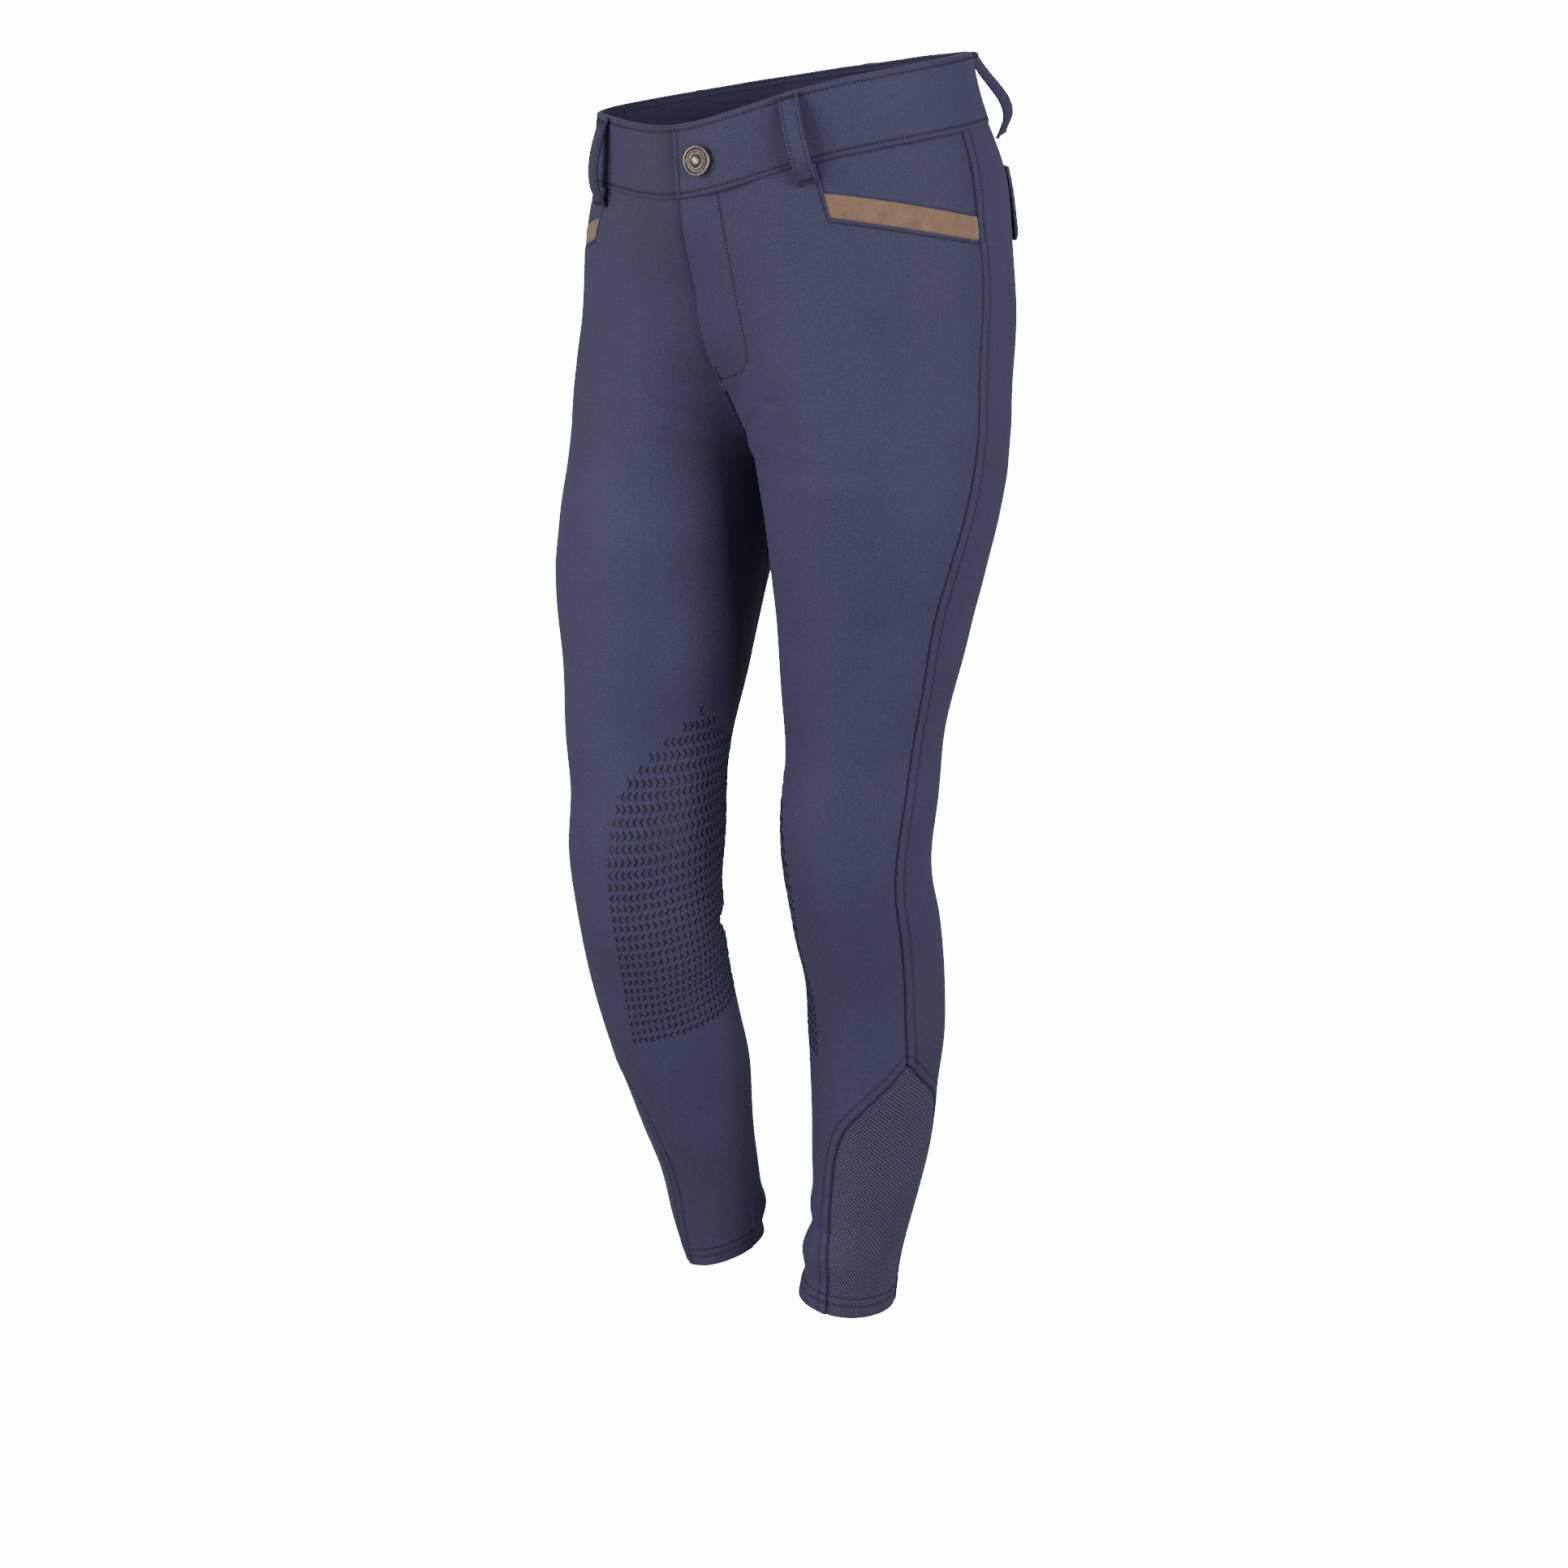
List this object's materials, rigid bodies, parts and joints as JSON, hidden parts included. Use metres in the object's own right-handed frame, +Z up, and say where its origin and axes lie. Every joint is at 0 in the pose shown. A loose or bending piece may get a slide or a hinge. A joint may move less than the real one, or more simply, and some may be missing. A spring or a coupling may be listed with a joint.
{
  "type": "riding breeches",
  "caption": "Slim riding breeches in their worn shape: wide waistband with belt loops, slant pockets, printed knee grip and mesh calf insets.",
  "frame": {"origin": "middle of the waist opening, half-way up the waistband", "axes": "+Z up along the standing body, -Y towards the front, +X towards the left leg of the wearer"},
  "size_m": [0.3017, 0.2302, 0.8196],
  "materials": {
    "cloth": "matt navy stretch cloth with a fine even weave",
    "band_cloth": "the same navy cloth, doubled and topstitched",
    "mesh": "navy knitted stretch mesh with small round holes",
    "suede": "tan suede with a short nap",
    "button_metal": "dull antique metal with raised plain rings"
  },
  "bodies": {
    "root": {"front_left": "cloth", "front_right": "cloth", "back_left": "cloth", "back_right": "cloth", "pocket_yoke_left": "cloth", "pocket_yoke_right": "cloth", "back_pocket_flap_left": "cloth", "back_pocket_flap_right": "cloth", "waistband_left": "band_cloth", "waistband_right": "band_cloth", "belt_loop_front_left": "band_cloth", "belt_loop_front_right": "band_cloth", "belt_loop_side_left": "band_cloth", "belt_loop_side_right": "band_cloth", "belt_loop_back": "band_cloth", "calf_mesh_left": "mesh", "calf_mesh_right": "mesh", "pocket_trim_left": "suede", "pocket_trim_right": "suede", "waist_button": "button_metal"}
  },
  "joints": []
}
